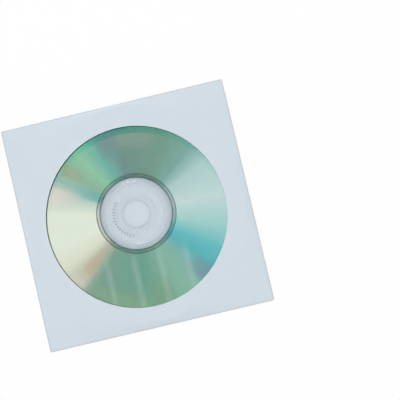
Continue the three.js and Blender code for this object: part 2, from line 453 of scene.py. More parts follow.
    def drape_stops(self) -> np.ndarray:
        """Shares of the way from the disc's rim to the panel's edge, closer at both ends."""
        turns = np.linspace(0, math.pi, self.drape_steps + 1)[1:]
        return (1 - np.cos(turns)) / 2

    def slack(self, start: np.ndarray, edge: np.ndarray, stop: float) -> float:
        """The paper's slight unevenness where neither the disc nor a fold holds it.

        Args:
            start: The point on the disc's rim.
            edge: The point on the panel's edge.
            stop: The share of the way between them.

        Returns:
            A height between about -1 and 1, and 0 at both ends.
        """
        free = min(np.linalg.norm((edge - start)[:2]) / self.disc_radius, 1)
        x, y = (start + (edge - start) * stop)[:2]
        across, along, aslant = self.slack_sizes
        swell = math.sin(x / across + self.slack_starts[0]) * math.cos(y / along + self.slack_starts[1])
        ripple = swell + math.sin((x + y) / aslant) / 2
        return float(ripple * free * math.sin(math.pi * stop) ** 2)


@dataclass
class SleevePaper:
    """The die-cut sheet: window panel, seam flaps, back panel and closing flap."""

    form: SleeveForm
    flat_rings: tuple[float, ...] = (0.0, 0.5, 1.5, 3.0, 5.0, 7.5)

    def fold(self, edge: np.ndarray, side: FoldSide, level: float) -> Row:
        """Points round a fold, from the panel's edge to the sheet lying flat behind it.

        Args:
            edge: The point on the window panel's edge.
            side: Which fold it is.
            level: The level of the sheet behind.

        Returns:
            The column of points.
        """
        form = self.form
        radius, axis = form.fold_radius[side], form.fold_axis(side)
        column = [edge]
        for angle in np.linspace(math.radians(form.fold_start), math.pi, form.fold_steps + 1)[1:]:
            reach = axis + radius * math.sin(angle)
            x = side.value[0] * reach if side.value[0] else edge[0]
            y = side.value[1] * reach if side.value[1] else edge[1]
            column.append(np.array([x, y, level + radius * (1 + math.cos(angle))]))
        return column

    def seam_flap(self, side: FoldSide) -> list[Row]:
        """Lays out a seam flap, which is narrower at both ends.

        Args:
            side: The fold that it hangs on.

        Returns:
            Its columns, each from the fold inwards.
        """
        form = self.form
        columns = []
        for edge in form.edges()[side]:
            fold = self.fold(edge, side, form.seam_level(edge[1]))
            from_end = min(edge[1] - form.seam_low, form.seam_high - edge[1])
            share = min(from_end / form.seam_flap_end_taper, 1)
            extra = share * (form.seam_flap_width - form.seam_flap_end_width)
            inward = np.array([-side.value[0] * (form.seam_flap_end_width + extra), 0, 0])
            flap = [fold[-1] + inward * s for s in np.linspace(0, 1, form.seam_flap_steps + 1)[1:]]
            columns.append([*fold, *flap])
        return columns

    def back_panel(self) -> list[Row]:
        """Lays out the back panel, up to the straight edge of the throat.

        Returns:
            Its columns, each from the bottom fold upwards.
        """
        form = self.form
        rows = [y for y in form.side_rows() if y <= form.throat]
        columns = []
        for edge in form.edges()[FoldSide.BOTTOM]:
            fold = self.fold(edge, FoldSide.BOTTOM, form.back_level(edge[1]))
            panel = [np.array([edge[0], y, form.back_level(y)]) for y in rows]
            columns.append([*fold, *panel])
        return columns

    def closing_flap(self) -> list[Row]:
        """Lays out the closing flap, tapered, with rounded corners at its free edge.

        Returns:
            Its columns, each from the top fold to the free edge.
        """
        form = self.form
        half = form.panel_side - form.corner_relief
        root, free = form.fold_axis(FoldSide.TOP), form.half_height - form.closing_flap_height
        corner = form.closing_flap_corner
        turns = np.linspace(0, math.pi / 2, form.corner_steps + 1)[1:]
        straight = spread(root, free + corner, form.step)[1:]
        rows = [*straight, *(free + corner - corner * np.sin(turns))]
        cuts = [*np.zeros(len(straight)), *(corner * (1 - np.cos(turns)))]
        columns = []
        for edge in form.edges()[FoldSide.TOP]:
            column = self.fold(edge, FoldSide.TOP, form.paper_thickness / 2)
            for y, cut in zip(rows, cuts):
                width = half - form.closing_flap_taper * (root - y) / (root - free) - cut
                column.append(np.array([edge[0] * width / half, y, form.paper_thickness / 2]))
            columns.append(column)
        return columns

    def build(self, finish: "EnvelopePaper") -> Object:
        """Builds the sheet and dresses it.

        Args:
            finish: The paper.

        Returns:
            The piece.
        """
        form = self.form
        sheet = FoldedSheet()
        circles = [(form.window_centre, form.window_diameter / 2 + r) for r in self.flat_rings]
        sheet.add_rows(form.rings(circles, lambda x, y: 0.0), closed=True)
        sheet.add_columns(self.seam_flap(FoldSide.RIGHT))
        sheet.add_columns(self.closing_flap())
        sheet.add_columns(self.seam_flap(FoldSide.LEFT))
        sheet.add_columns(self.back_panel())
        half = form.paper_thickness / 2
        return finish_piece(sheet.solid(-half, half), "envelope_sheet", finish.material(),
                            ["sleeve_paper"])


@dataclass
class WindowFilm:
    """The square of clear film behind the window, slightly rippled where nothing holds it."""

    form: SleeveForm
    thickness: float = 0.05
    glue: float = 0.02
    ring_step: float = 2.0
    flat_lap: float = 4.0
    ripple_height: float = 0.05
    ripple_size: float = 2.9
    ripple_start: float = 0.4
    bend_size: float = 17.0
    bend_share: float = 0.8
    stretch: tuple[float, float] = (0.27, 0.96)
    hold_starts: float = 6.0
    hold_ends: float = 1.0

    def wave(self, x: float, y: float) -> float:
        """Gives the film's ripple, whose long waves lie the way that the film was stretched.

        Args:
            x: The place along X.
            y: The place along Y.

        Returns:
            A height above the disc, 0 where the paper holds the film.
        """
        radius = self.form.window_diameter / 2
        offset = np.array([x, y]) - self.form.window_centre
        distance = float(np.linalg.norm(offset))
        held = smoothstep(distance, radius - self.hold_starts, radius - self.hold_ends)
        along = offset[1] * self.stretch[1] + offset[0] * self.stretch[0]
        across = offset[0] * self.stretch[1] - offset[1] * self.stretch[0]
        bend = self.bend_share * math.sin(along / self.bend_size)
        ripple = (1 + math.sin(across / self.ripple_size + bend + self.ripple_start)) / 2
        return float(self.ripple_height * ripple * (1 - held))

    def build(self, finish: "ClearFilm") -> Object:
        """Builds the film and dresses it.

        Args:
            finish: The film.

        Returns:
            The piece.
        """
        form = self.form
        radius = form.window_diameter / 2
        sheet = FoldedSheet()
        radii = spread(self.ring_step / 2, radius + self.flat_lap, self.ring_step)
        rings = form.rings([(form.window_centre, r) for r in radii], self.wave)
        sheet.add_rows(rings, closed=True)
        middle = [sheet.surface.verts.new(point) for point in rings[0]]
        sheet.surface.faces.new(middle)
        sheet.cut_square(form.window_centre, form.film_side)
        top = -form.paper_thickness / 2 - self.glue
        return finish_piece(sheet.solid(top - self.thickness, top), "film_patch", finish.material(),
                            ["window_film"])


def revolve(profile: Section, centre: Sequence[float], level: float,
            segments: int) -> bmesh.types.BMesh:
    """Turns a closed profile about a vertical axis.

    Args:
        profile: Radius and height pairs round the section.
        centre: Where the axis stands.
        level: The height that the profile's own heights start from.
        segments: How many steps the full turn has.

    Returns:
        The mesh of the ring.
    """
    mesh = bmesh.new()
    rings = [[mesh.verts.new((centre[0] + r * math.cos(a), centre[1] + r * math.sin(a), level + z))
              for r, z in profile]
             for a in np.linspace(0, math.tau, segments, endpoint=False)]
    for here, there in zip(rings, rings[1:] + rings[:1]):
        for i in range(len(profile)):
            k = (i + 1) % len(profile)
            mesh.faces.new((here[i], here[k], there[k], there[i]))
    return mesh


@dataclass
class Disc:
    """The disc: its clear moulding, the recording layer on its far face and the hub's ticks."""

    hole: float = 15.0
    edge_round: float = 0.2
    hole_round: float = 0.15
    ring_radius: float = 17.0
    ring_width: float = 1.0
    ring_height: float = 0.15
    ring_slope: float = 0.25
    groove_radius: float = 15.3
    groove_width: float = 0.2
    groove_depth: float = 0.1
    groove_slope: float = 0.2
    stamper_radius: float = 10.6
    stamper_width: float = 0.6
    stamper_depth: float = 0.12
    flat_stops: tuple[float, ...] = (58.5, 40.0, 22.0)
    layer_inner: float = 19.7
    layer_gap: float = 0.005
    layer_step: float = 3.0
    segments: int = 288
    round_steps: int = 4
    tick_radius: float = 12.5
    tick_length: float = 1.4
    tick_width: float = 0.65
    tick_first: float = 141.0
    tick_last: float = 250.0
    tick_count: int = 15

    def __post_init__(self) -> None:
        """Takes the overall sizes from the CAD nodes."""
        low, high = box_mm("disc")
        layer_low, layer_high = box_mm("recording_layer")
        self.centre = (low + high)[:2] / 2
        self.radius = (high - low)[0] / 2
        self.bottom = low[2]
        self.thickness = high[2] - low[2] - self.ring_height
        self.layer_bottom, self.layer_top = layer_low[2], layer_high[2]
        self.layer_radius = (layer_high - layer_low)[0] / 2

    def rounded_step(self, radius: float, level: float, size: float, quarter: int) -> Section:
        """Points round a quarter circle of the section.

        Args:
            radius: The radius at the quarter circle's centre.
            level: The height of its centre.
            size: Its own radius.
            quarter: Which quarter, counted anticlockwise from the outer upper one.

        Returns:
            Radius and height pairs, anticlockwise.
        """
        turns = np.linspace(quarter, quarter + 1, self.round_steps + 1) * math.pi / 2
        return [(radius + size * math.cos(t), level + size * math.sin(t)) for t in turns]

    def ring_profile(self, radius: float, width: float, slope: float, height: float) -> Section:
        """Points across a ring or groove of the upper face, from its outer side inwards."""
        top = self.thickness
        return [(radius + width / 2 + slope, top), (radius + width / 2, top + height),
                (radius - width / 2, top + height), (radius - width / 2 - slope, top)]

    def moulding(self, finish: "ClearPolycarbonate") -> Object:
        """Builds the clear moulding.

        The flat stops keep the shading of the edges and rings off the flat face between them.

        Args:
            finish: The plastic.

        Returns:
            The piece.
        """
        edge, rim, top = self.edge_round, self.hole_round, self.thickness
        outer, inner = self.radius - edge, self.hole / 2 + rim
        slope = self.groove_slope
        profile = [
            (self.layer_inner, 0.0), (self.flat_stops[0], 0.0),
            *self.rounded_step(outer, edge, edge, 3),
            *self.rounded_step(outer, top - edge, edge, 0),
            *[(radius, top) for radius in self.flat_stops],
            *self.ring_profile(self.ring_radius, self.ring_width, self.ring_slope, self.ring_height),
            *self.ring_profile(self.groove_radius, self.groove_width, slope, -self.groove_depth),
            *self.ring_profile(self.stamper_radius, self.stamper_width, slope, -self.stamper_depth),
            *self.rounded_step(inner, top - rim, rim, 1),
            *self.rounded_step(inner, rim, rim, 2),
        ]
        mesh = revolve(profile, self.centre, self.bottom, self.segments)
        return finish_piece(mesh, "disc_moulding", finish.material(), ["disc"])

    def layer(self, finish: "DyeWithPaintedSheen") -> Object:
        """Builds the recording layer, a thin ring just under the moulding.

        Args:
            finish: The dye and its mirror, with the painted sheen.

        Returns:
            The piece.
        """
        height = self.layer_top - self.layer_gap - self.layer_bottom
        radii = spread(self.layer_inner, self.layer_radius, self.layer_step)
        profile = [(r, 0.0) for r in radii] + [(r, height) for r in radii[::-1]]
        mesh = revolve(profile, self.centre, self.layer_bottom, self.segments)
        return finish_piece(mesh, "dye_and_mirror_layer", finish.material(),
                            ["recording_layer"])

    def ticks(self, finish: "HubInk") -> Object:
        """Builds the arc of plain short ticks printed under the clear hub.

        Args:
            finish: The ink.

        Returns:
            The piece.
        """
        mesh = bmesh.new()
        for angle in np.radians(np.linspace(self.tick_first, self.tick_last, self.tick_count)):
            turn = Matrix.Rotation(angle, 4, "Z")
            place = Matrix.Translation((*self.centre, self.bottom - 2 * self.layer_gap))
            size = Matrix.Diagonal((self.tick_length, self.tick_width, self.layer_gap, 1))
            out = Matrix.Translation((self.tick_radius, 0, 0))
            bmesh.ops.create_cube(mesh, size=1, matrix=place @ turn @ out @ size)
        return finish_piece(mesh, "hub_ticks", finish.material())


@dataclass(frozen=True)
class EnvelopePaper:
    """White wood-free envelope paper, 90 g/m2, calendered: matt and even, with a faint cloudiness."""

    half_size: tuple[float, float]
    colour: str = "D3DDE6"
    cloud_colour: str = "CFDAE3"
    cloud_size: float = 5.0
    cloud_detail: float = 3.0
    cloud_mottle: float = 0.55
    fibre_size: float = 0.7
    fibre_detail: float = 4.0
    fibre_mottle: float = 0.6
    fibre_depth: float = 0.012
    fibre_strength: float = 0.6
    roughness: float = 0.86
    ior: float = 1.47
    glow: float = 0.35
    glow_depth: float = 0.3
    # Painted shade: the paper is greyed towards each folded edge
    fold_shade_colour: str = "BFC5CB"
    fold_shade_width: float = 1.0

    def material(self) -> Material:
        """Makes the paper. The fibres are drawn coarser than real ones, so that they show.

        Returns:
            The material.
        """
        material, tree, output = new_material("envelope_paper_calendered")
        place = add_node(tree, "ShaderNodeTexCoord").outputs["Object"]
        cloud = add_node(tree, "ShaderNodeTexNoise", {
            "Vector": place, "Scale": 1 / (self.cloud_size * MM), "Detail": self.cloud_detail,
            "Roughness": self.cloud_mottle})
        tone = add_node(tree, "ShaderNodeMix", {
            0: cloud.outputs[0], 6: linear(self.cloud_colour), 7: linear(self.colour)},
            data_type="RGBA")
        fibre = add_node(tree, "ShaderNodeTexNoise", {
            "Vector": place, "Scale": 1 / (self.fibre_size * MM), "Detail": self.fibre_detail,
            "Roughness": self.fibre_mottle})
        grain = add_node(tree, "ShaderNodeBump", {
            "Height": fibre.outputs[0], "Strength": self.fibre_strength,
            "Distance": self.fibre_depth * MM})
        surface = add_node(tree, "ShaderNodeBsdfPrincipled", {
            "Base Color": self.with_painted_fold_shade(tree, place, tone.outputs[2]),
            "Roughness": self.roughness, "IOR": self.ior,
            "Subsurface Weight": self.glow, "Subsurface Radius": (1, 1, 1),
            "Subsurface Scale": self.glow_depth * MM, "Normal": grain.outputs[0]})
        tree.links.new(surface.outputs[0], output.inputs[0])
        return material

    def with_painted_fold_shade(self, tree: NodeTree, place: NodeSocket, colour: NodeSocket) -> NodeSocket:
        """Greys the paper a little along its folds, a painted shade where the paper bends round.

        Args:
            tree: The material's tree.
            place: The place in metres.
            colour: The paper's colour.

        Returns:
            The colour with the painted shade along the folds.
        """
        axes = add_node(tree, "ShaderNodeSeparateXYZ", {0: place})
        for axis, half in enumerate(self.half_size):
            out = add_node(tree, "ShaderNodeMath", {0: axes.outputs[axis]}, operation="ABSOLUTE")
            # Painted shade along this fold, greying the paper towards the edge
            share = add_node(tree, "ShaderNodeMapRange", {
                "Value": out.outputs[0], "From Min": (half - self.fold_shade_width) * MM,
                "From Max": half * MM}, interpolation_type="SMOOTHSTEP")
            colour = add_node(tree, "ShaderNodeMix", {
                0: share.outputs[0], 6: colour, 7: linear(self.fold_shade_colour)},
                data_type="RGBA").outputs[2]
        return colour


@dataclass(frozen=True)
class ClearFilm:
    """Oriented polypropylene film, 50 micrometres, cast and stretched: glossy and all but clear.

    Seen straight on, it only lays a faint veil and a few streaks of reflected light over the disc.
    The disc's colours hold both as painted reflection, because a piece that is nearly clear renders as
    speckle.
    """

    colour: str = "E9EFF3"
    straight_opacity: float = 0.0
    grazing_opacity: float = 0.35
    roughness: float = 0.08
    ior: float = 1.49

    def material(self) -> Material:
        """Makes the film.

        Returns:
            The material.
        """
        material, tree, output = new_material("polypropylene_film_clear")
        surface = add_node(tree, "ShaderNodeBsdfPrincipled", {
            "Base Color": linear(self.colour), "Roughness": self.roughness, "IOR": self.ior,
            "Alpha": clear_opacity(tree, self.straight_opacity, self.grazing_opacity)})
        tree.links.new(surface.outputs[0], output.inputs[0])
        return material


@dataclass(frozen=True)
class ClearPolycarbonate:
    """Optical polycarbonate, injection moulded: glass clear and glossy.

    Its steps and edges bend the light away, so they show as fine darker rings, and the outer hub
    is painted darker towards the dye, a painted shade.
    """

    centre: tuple[float, float]
    colour: str = "C9D5DE"
    edge_colour: str = "7F919C"
    edge_opacity: float = 0.45
    # Painted shade over the outer hub, darker and greyer towards the dye
    hub_shade_opacity: float = 0.13
    hub_shade_inner: float = 15.9
    hub_shade_outer: float = 19.6
    hub_shade_lap: float = 0.3
    grazing_opacity: float = 0.3
    roughness: float = 0.05
    ior: float = 1.585

    def material(self) -> Material:
        """Makes the moulding's plastic.

        Returns:
            The material.
        """
        material, tree, output = new_material("polycarbonate_clear_moulded")
        facing = add_node(tree, "ShaderNodeNewGeometry").outputs["True Normal"]
        flat = add_node(tree, "ShaderNodeVectorMath", {0: facing, 1: (1, 1, 0)}, operation="MULTIPLY")
        slope = add_node(tree, "ShaderNodeVectorMath", {0: flat.outputs[0]}, operation="LENGTH")
        opacity = add_node(tree, "ShaderNodeMapRange", {
            "Value": slope.outputs["Value"], "To Max": self.edge_opacity})
        hub_shade = self.hub_shade(tree)
        shaded_opacity = add_node(tree, "ShaderNodeMath", {
            0: hub_shade, 1: self.hub_shade_opacity, 2: opacity.outputs[0]}, operation="MULTIPLY_ADD")
        alpha = clear_opacity(tree, shaded_opacity.outputs[0], self.grazing_opacity)
        # Edges and the painted shade of the outer hub both take the darker edge colour
        dark = add_node(tree, "ShaderNodeMath", {
            0: slope.outputs["Value"], 1: hub_shade}, operation="MAXIMUM")
        tone = add_node(tree, "ShaderNodeMix", {
            0: dark.outputs[0], 6: linear(self.colour), 7: linear(self.edge_colour)},
            data_type="RGBA")
        surface = add_node(tree, "ShaderNodeBsdfPrincipled", {
            "Base Color": tone.outputs[2], "Alpha": alpha, "Roughness": self.roughness,
            "IOR": self.ior})
        tree.links.new(surface.outputs[0], output.inputs[0])
        return material

    def hub_shade(self, tree: NodeTree) -> NodeSocket:
        """Adds the painted shade of the outer hub, 0 at the inner hub and full just inside the dye.

        Args:
            tree: The material's tree.

        Returns:
            The share of the painted shade.
        """
        local = flat_offset(tree, self.centre)
        size = add_node(tree, "ShaderNodeVectorMath", {0: local}, operation="LENGTH")
        radius = size.outputs["Value"]
        rise = add_node(tree, "ShaderNodeMapRange", {
            "Value": radius, "From Min": self.hub_shade_inner * MM, "From Max": self.hub_shade_outer * MM},
            interpolation_type="SMOOTHSTEP")
        end = add_node(tree, "ShaderNodeMath", {
            0: radius, 1: (self.hub_shade_outer + self.hub_shade_lap) * MM}, operation="LESS_THAN")
        return add_node(tree, "ShaderNodeMath", {
            0: rise.outputs[0], 1: end.outputs[0]}, operation="MULTIPLY").outputs[0]


def clear_opacity(tree: NodeTree, straight: NodeSocket | float, grazing: float,
                  rise: float = 4.0) -> NodeSocket:
    """Makes a clear surface less clear at a grazing angle, as its gloss takes over.

    Args:
        tree: The material's tree.
        straight: The opacity seen straight on.
        grazing: What the gloss adds at a grazing angle.
        rise: How late and how steeply it does, as a power.

    Returns:
        The opacity.
    """
    facing = add_node(tree, "ShaderNodeLayerWeight", {"Blend": 0.5}).outputs["Facing"]
    gloss = add_node(tree, "ShaderNodeMath", {0: facing, 1: rise}, operation="POWER")
    return add_node(tree, "ShaderNodeMath", {
        0: gloss.outputs[0], 1: grazing, 2: straight}, operation="MULTIPLY_ADD").outputs[0]


@dataclass(frozen=True)
class HubInk:
    """Grey screen ink, printed thinly: matt and slightly uneven."""

    colour: str = "9DA9B6"
    thin_colour: str = "B0BBC6"
    patch_size: float = 1.5
    roughness: float = 0.6

    def material(self) -> Material:
        """Makes the ink.

        Returns:
            The material.
        """
        material, tree, output = new_material("screen_ink_grey")
        place = add_node(tree, "ShaderNodeTexCoord").outputs["Object"]
        patch = add_node(tree, "ShaderNodeTexNoise", {
            "Vector": place, "Scale": 1 / (self.patch_size * MM)})
        tone = add_node(tree, "ShaderNodeMix", {
            0: patch.outputs[0], 6: linear(self.colour), 7: linear(self.thin_colour)},
            data_type="RGBA")
        surface = add_node(tree, "ShaderNodeBsdfPrincipled", {
            "Base Color": tone.outputs[2], "Roughness": self.roughness})
        tree.links.new(surface.outputs[0], output.inputs[0])
        return material


class Sheen(Enum):
    """Colours of the painted sheen: the light that the disc's groove splits, for a green-blue dye."""

    PALE_AQUA = "BFD7D4"
    AQUA = "AACAC8"
    TEAL = "7BA79F"
    LEAF = "759A89"
    DEEP_GREEN = "6F908A"
    JADE = "70AEA2"
    MINT = "8DC1A3"
    SAGE = "8DB399"
    MIST = "9ABBB2"
    IVORY = "DDE6D6"
    CREAM = "D7DCC7"
    SAND = "B1B8A8"
    FERN = "79A08F"
    SEA_GREEN = "6D9F8E"
    PALE_FERN = "84B39F"
    EBB = "83B1A8"
    CYAN = "5CB0B2"
    SKY = "65B9BE"
    ICE = "9BCBC7"
    LAGOON = "6DB0AB"
    PEACH = "C7BDB2"
    TAN = "BCAA8F"
    KHAKI = "A2A68C"
    SLATE = "798C8F"
    BLUSH = "D8D6CD"
    ASH = "899D91"
    BUFF = "CECFBE"
    OLIVE = "87A886"
    MOSS = "7C9A75"
    VIOLET = "73879E"


@dataclass(frozen=True)
class Streak:
    """One streak of the disc's painted sheen: a colour at an angle round the hub."""

    angle: float
    colour: Sheen


@dataclass(frozen=True)
class Glint:
    """A painted glint: a patch where the painted sheen takes another colour, nearer the hub or nearer
    the rim.

    Its spread is an angle round the hub, and its reach a length along the radius, each way.
    """

    angle: float
    radius: float
    spread: float
    reach: float
    colour: Sheen
    strength: float


@dataclass(frozen=True)
class RimShade:
    """The shade that the window's edge throws inwards onto the disc.

    It is the window's circle, shifted away from the angle that it is thrown from.
    """

    towards: float
    shift: float
    softness: float
    tint: tuple[float, float, float]
    spread: float


@dataclass(frozen=True)
class DyeWithPaintedSheen:
    """Blue-green dye spin-coated over a sputtered silver mirror, along a fine spiral groove.

    The light that the groove splits into streaks is painted into the layer's colour: a painted sheen
    that stands like spokes round the hub, pale towards two opposite sides and deep green between
    them. Bare mirror shows as a band inside the dye.
    """

    centre: tuple[float, float]
    window_centre: tuple[float, float]
    window_radius: float
    # Painted sheen: each streak is a colour of the groove's split light, painted in by angle
    streaks: tuple[Streak, ...] = (
        Streak(0, Sheen.PALE_AQUA),
        Streak(24, Sheen.AQUA),
        Streak(38, Sheen.TEAL),
        Streak(56, Sheen.LEAF),
        Streak(92, Sheen.DEEP_GREEN),
        Streak(108, Sheen.JADE),
        Streak(122, Sheen.MINT),
        Streak(136, Sheen.SAGE),
        Streak(145, Sheen.MIST),
        Streak(168, Sheen.IVORY),
        Streak(192, Sheen.IVORY),
        Streak(205, Sheen.CREAM),
        Streak(216, Sheen.SAND),
        Streak(229, Sheen.FERN),
        Streak(265, Sheen.SEA_GREEN),
        Streak(291, Sheen.PALE_FERN),
        Streak(302, Sheen.EBB),
        Streak(314, Sheen.CYAN),
        Streak(324, Sheen.SKY),
        Streak(338, Sheen.ICE),
    )
    # Painted glints, blended into the painted sheen's colour
    glints: tuple[Glint, ...] = (
        Glint(145, 22, 9, 22, Sheen.LAGOON, 0.8),
        Glint(151, 46, 7, 16, Sheen.PEACH, 0.55),
        Glint(156, 47, 9, 20, Sheen.BLUSH, 0.85),
        Glint(135, 44, 6, 14, Sheen.KHAKI, 0.55),
        Glint(80, 42, 20, 9, Sheen.ASH, 0.7),
        Glint(101, 44, 10, 18, Sheen.SLATE, 0.7),
        Glint(216, 51, 8, 17, Sheen.BUFF, 0.8),
        Glint(217, 36, 7, 16, Sheen.TAN, 0.6),
        Glint(248, 51, 30, 13, Sheen.OLIVE, 0.6),
        Glint(276, 46, 9, 16, Sheen.MOSS, 0.5),
        Glint(307, 49, 8, 13, Sheen.VIOLET, 0.6),
    )
    shades: tuple[RimShade, ...] = (
        RimShade(90, 3.5, 1.9, (0.69, 0.98, 0.94), 80),
        RimShade(86, 3.6, 1.8, (0.69, 0.95, 0.92), 32),
    )
    band_outer: float = 22.2
    band_tint: tuple[float, float, float] = (0.70, 0.69, 0.72)
    band_lines: tuple[float, ...] = (20.1, 21.95)
    band_line_colour: str = "516460"
    band_line_width: float = 0.45
    band_line_share: float = 0.95
    spoke_size: float = 2.5
    spoke_depth: float = 0.06
    ring_size: float = 0.9
    ring_depth: float = 0.03
    grain_detail: float = 2.0
    # Painted reflection: pale streaks where the film's ripples catch the light
    film_glints: tuple[float, ...] = (-22.0, -7.0, 7.3, 22.0)
    film_glint_colour: str = "E4EAEE"
    film_glint_share: float = 0.1
    film_glint_width: float = 3.0
    film_glint_top: float = -27.0
    film_glint_fade: float = 12.0
    metallic: float = 0.95
    roughness: float = 0.15

    def material(self) -> Material:
        """Makes the layer: the painted sheen with all that lies in it or over it, painted glints and
        painted shade among them.

        Returns:
            The material.
        """
        material, tree, output = new_material("dye_with_painted_sheen")
        local = flat_offset(tree, self.centre)
        size = add_node(tree, "ShaderNodeVectorMath", {0: local}, operation="LENGTH")
        radius = size.outputs["Value"]
        out = add_node(tree, "ShaderNodeVectorMath", {0: local}, operation="NORMALIZE").outputs[0]
        # The base colour is a painted sheen: split light painted in by angle round the hub
        colour = self.sheen(tree, local)
        for glint in self.glints:
            colour = self.with_glint(tree, colour, glint, radius, out)
        colour = self.with_grain(tree, colour, radius, out)
        colour = self.with_band(tree, colour, radius)
        for shade in self.shades:
            colour = self.with_shade(tree, colour, shade)
        colour = self.with_painted_film_glints(tree, colour)
        surface = add_node(tree, "ShaderNodeBsdfPrincipled", {
            "Base Color": colour, "Roughness": self.roughness, "Metallic": self.metallic})
        tree.links.new(surface.outputs[0], output.inputs[0])
        return material

    def sheen(self, tree: NodeTree, local: NodeSocket) -> NodeSocket:
        """Adds the painted sheen's ramp of streaks, by the angle round the hub as a share of a full
        turn.

        Args:
            tree: The material's tree.
            local: The place as seen from the disc's centre.

        Returns:
            The colour.
        """
        axes = add_node(tree, "ShaderNodeSeparateXYZ", {0: local})
        angle = add_node(tree, "ShaderNodeMath", {
            0: axes.outputs[1], 1: axes.outputs[0]}, operation="ARCTAN2")
        share = add_node(tree, "ShaderNodeMath", {
            0: angle.outputs[0], 1: 1 / math.tau}, operation="MULTIPLY")
        turn = add_node(tree, "ShaderNodeMath", {0: share.outputs[0]}, operation="FRACT")
        ramp = add_node(tree, "ShaderNodeValToRGB", {0: turn.outputs[0]})
        stops = ramp.color_ramp.elements
        for stop in (stops[0], stops[1]):
            stop.color = linear(self.streaks[0].colour.value)
        for streak in self.streaks[1:]:
            stops.new(streak.angle / 360).color = linear(streak.colour.value)
        return ramp.outputs[0]

    def with_glint(self, tree: NodeTree, colour: NodeSocket, glint: Glint, radius: NodeSocket,
                   out: NodeSocket) -> NodeSocket:
        """Blends one glint into the sheen.

        Args:
            tree: The material's tree.
            colour: The sheen so far.
            glint: The glint.
            radius: The distance from the disc's centre.
            out: The direction away from the disc's centre.

        Returns:
            The sheen with the glint.
        """
        turn = math.radians(glint.angle)
        along = add_node(tree, "ShaderNodeVectorMath", {
            0: out, 1: (math.cos(turn), math.sin(turn), 0)}, operation="DOT_PRODUCT")
        near = add_node(tree, "ShaderNodeMapRange", {
            "Value": along.outputs["Value"], "From Min": math.cos(math.radians(glint.spread)),
            "To Max": glint.strength}, interpolation_type="SMOOTHSTEP")
        share = add_node(tree, "ShaderNodeMath", {
            0: near.outputs[0], 1: closeness(tree, radius, glint.radius, glint.reach)},
            operation="MULTIPLY")
        return add_node(tree, "ShaderNodeMix", {
            0: share.outputs[0], 6: colour, 7: linear(glint.colour.value)},
            data_type="RGBA").outputs[2]

    def with_grain(self, tree: NodeTree, colour: NodeSocket, radius: NodeSocket,
                   out: NodeSocket) -> NodeSocket:
        """Adds fine spokes and rings to the painted sheen, both far coarser than the 1.6 micrometre
        groove, to show.

        Args:
            tree: The material's tree.
            colour: The sheen so far.
            radius: The distance from the disc's centre.
            out: The direction away from the disc's centre.

        Returns:
            The sheen with its grain.
        """
        spokes = add_node(tree, "ShaderNodeTexNoise", {
            "Vector": out, "Scale": 1 / math.radians(self.spoke_size),
            "Detail": self.grain_detail})
        rings = add_node(tree, "ShaderNodeTexNoise", {
            "W": radius, "Scale": 1 / (self.ring_size * MM), "Detail": self.grain_detail},
            noise_dimensions="1D")
        level: NodeSocket | float = 1 - (self.spoke_depth + self.ring_depth) / 2
        for pattern, depth in ((spokes, self.spoke_depth), (rings, self.ring_depth)):
            level = add_node(tree, "ShaderNodeMath", {
                0: pattern.outputs[0], 1: depth, 2: level}, operation="MULTIPLY_ADD").outputs[0]
        return add_node(tree, "ShaderNodeVectorMath", {
            0: colour, "Scale": level}, operation="SCALE").outputs[0]

    def with_band(self, tree: NodeTree, colour: NodeSocket, radius: NodeSocket) -> NodeSocket:
        """Adds the grey mirror band inside the dye, with a dark line at each side.

        Args:
            tree: The material's tree.
            colour: The sheen so far.
            radius: The distance from the disc's centre.

        Returns:
            The sheen with the band.
        """
        inside = add_node(tree, "ShaderNodeMapRange", {
            "Value": radius, "From Min": self.band_outer * MM,
            "From Max": (self.band_outer - self.band_line_width) * MM},
            interpolation_type="SMOOTHSTEP")
        colour = add_node(tree, "ShaderNodeMix", {
            0: inside.outputs[0], 6: colour, 7: (*self.band_tint, 1)},
            data_type="RGBA", blend_type="MULTIPLY").outputs[2]
        for line in self.band_lines:
            share = closeness(tree, radius, line, self.band_line_width, self.band_line_share)
            colour = add_node(tree, "ShaderNodeMix", {
                0: share, 6: colour, 7: linear(self.band_line_colour)},
                data_type="RGBA").outputs[2]
        return colour

    def with_painted_film_glints(self, tree: NodeTree, colour: NodeSocket) -> NodeSocket:
        """Adds the pale streaks of painted reflection that the stretched film's ripples lay over the
        disc at the window's foot.

        Args:
            tree: The material's tree.
            colour: The sheen so far.

        Returns:
            The sheen with the painted reflection streaks.
        """
        place = add_node(tree, "ShaderNodeTexCoord").outputs["Object"]
        axes = add_node(tree, "ShaderNodeSeparateXYZ", {0: place})
        fade = add_node(tree, "ShaderNodeMapRange", {
            "Value": axes.outputs[1], "From Min": (self.film_glint_top + self.film_glint_fade) * MM,
            "From Max": self.film_glint_top * MM, "To Max": self.film_glint_share},
            interpolation_type="SMOOTHSTEP")
        for middle in self.film_glints:
            near = closeness(tree, axes.outputs[0], middle, self.film_glint_width)
            share = add_node(tree, "ShaderNodeMath", {
                0: near, 1: fade.outputs[0]}, operation="MULTIPLY")
            colour = add_node(tree, "ShaderNodeMix", {
                0: share.outputs[0], 6: colour, 7: linear(self.film_glint_colour)},
                data_type="RGBA").outputs[2]
        return colour

